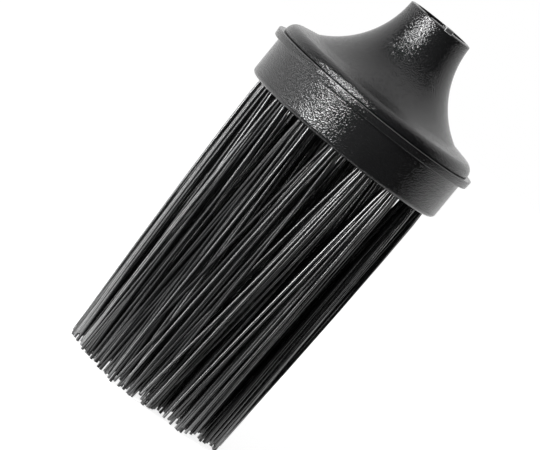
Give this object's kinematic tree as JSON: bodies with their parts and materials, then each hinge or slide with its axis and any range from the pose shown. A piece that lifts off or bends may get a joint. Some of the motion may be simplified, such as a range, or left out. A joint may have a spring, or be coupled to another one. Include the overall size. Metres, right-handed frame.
{
  "type": "corner brush",
  "caption": "Round corner brush head: a bell-shaped socket moulding snapped on to a drilled block that is set with rings of long, stiff bristle tufts.",
  "frame": {"origin": "on the brush's axis at the plane of the trimmed bristle tips", "axes": "+Z along the brush's axis, out of the mouth of the handle socket; the rim's lug and notch lie either side of -Y"},
  "size_m": [0.0618, 0.0618, 0.1198],
  "materials": {
    "moulding": "black moulded plastic with a fine spark-eroded texture",
    "filament": "black drawn plastic filament, slightly glossy",
    "anchor_wire": "flat drawn wire"
  },
  "bodies": {
    "root": {"socket_bell": "moulding", "brush_block": "moulding", "outer_tuft_01": "filament", "outer_tuft_02": "filament", "outer_tuft_03": "filament", "outer_tuft_04": "filament", "outer_tuft_05": "filament", "outer_tuft_06": "filament", "outer_tuft_07": "filament", "outer_tuft_08": "filament", "outer_tuft_09": "filament", "outer_tuft_10": "filament", "outer_tuft_11": "filament", "outer_tuft_12": "filament", "outer_tuft_13": "filament", "outer_tuft_14": "filament", "outer_tuft_15": "filament", "outer_tuft_16": "filament", "middle_tuft_01": "filament", "middle_tuft_02": "filament", "middle_tuft_03": "filament", "middle_tuft_04": "filament", "middle_tuft_05": "filament", "middle_tuft_06": "filament", "middle_tuft_07": "filament", "middle_tuft_08": "filament", "middle_tuft_09": "filament", "inner_tuft_01": "filament", "inner_tuft_02": "filament", "inner_tuft_03": "filament", "outer_anchor_01": "anchor_wire", "outer_anchor_02": "anchor_wire", "outer_anchor_03": "anchor_wire", "outer_anchor_04": "anchor_wire", "outer_anchor_05": "anchor_wire", "outer_anchor_06": "anchor_wire", "outer_anchor_07": "anchor_wire", "outer_anchor_08": "anchor_wire", "outer_anchor_09": "anchor_wire", "outer_anchor_10": "anchor_wire", "outer_anchor_11": "anchor_wire", "outer_anchor_12": "anchor_wire", "outer_anchor_13": "anchor_wire", "outer_anchor_14": "anchor_wire", "outer_anchor_15": "anchor_wire", "outer_anchor_16": "anchor_wire", "middle_anchor_01": "anchor_wire", "middle_anchor_02": "anchor_wire", "middle_anchor_03": "anchor_wire", "middle_anchor_04": "anchor_wire", "middle_anchor_05": "anchor_wire", "middle_anchor_06": "anchor_wire", "middle_anchor_07": "anchor_wire", "middle_anchor_08": "anchor_wire", "middle_anchor_09": "anchor_wire", "inner_anchor_01": "anchor_wire", "inner_anchor_02": "anchor_wire", "inner_anchor_03": "anchor_wire"}
  },
  "joints": []
}
